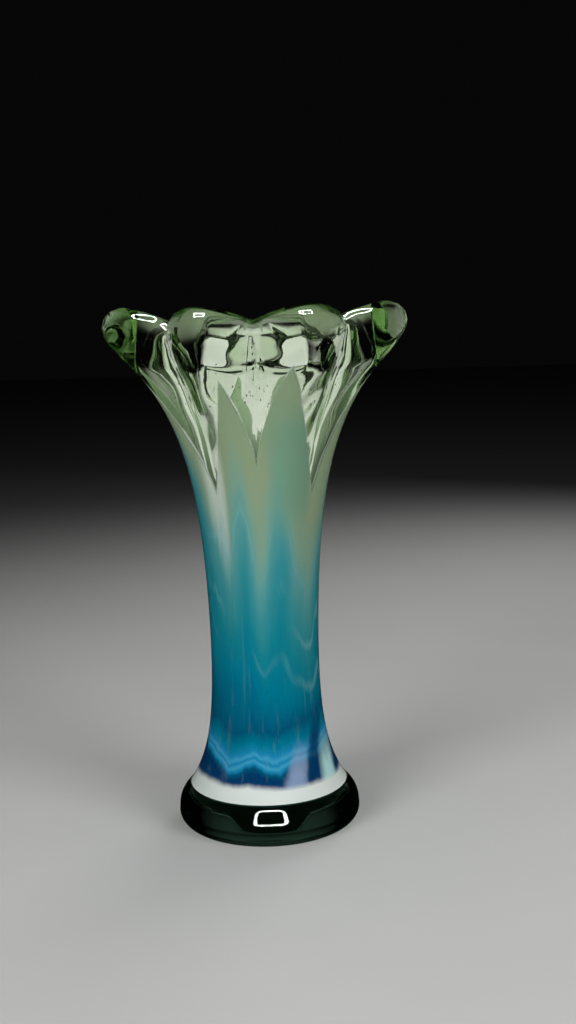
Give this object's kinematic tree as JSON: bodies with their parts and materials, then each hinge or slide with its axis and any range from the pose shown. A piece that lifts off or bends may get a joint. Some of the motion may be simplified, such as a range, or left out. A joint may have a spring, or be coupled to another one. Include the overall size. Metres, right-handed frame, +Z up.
{
  "type": "vase",
  "caption": "Hand blown cased glass vase: clear foot, blue over white opal body, green lobed and flared mouth.",
  "frame": {"origin": "centre of the ground base, on the table", "axes": "+Z up the vase's axis towards the mouth, a furrow between two lobes faces -Y"},
  "size_m": [0.1553, 0.1574, 0.2809],
  "materials": {
    "clear_foot_glass": "polished clear glass with seeds",
    "clear_casing_glass": "fire-polished clear glass",
    "green_glass": "transparent olive green glass",
    "white_opal_glass": "dense white opal glass",
    "turquoise_glass": "blue to grey-green colour, streaky",
    "cobalt_glass": "dark cobalt blue colour"
  },
  "bodies": {
    "root": {"clear_foot": "clear_foot_glass", "clear_casing": "clear_casing_glass", "cobalt_band": "cobalt_glass", "turquoise_layer": "turquoise_glass", "white_opal_layer": "white_opal_glass", "green_lining": "green_glass"}
  },
  "joints": []
}
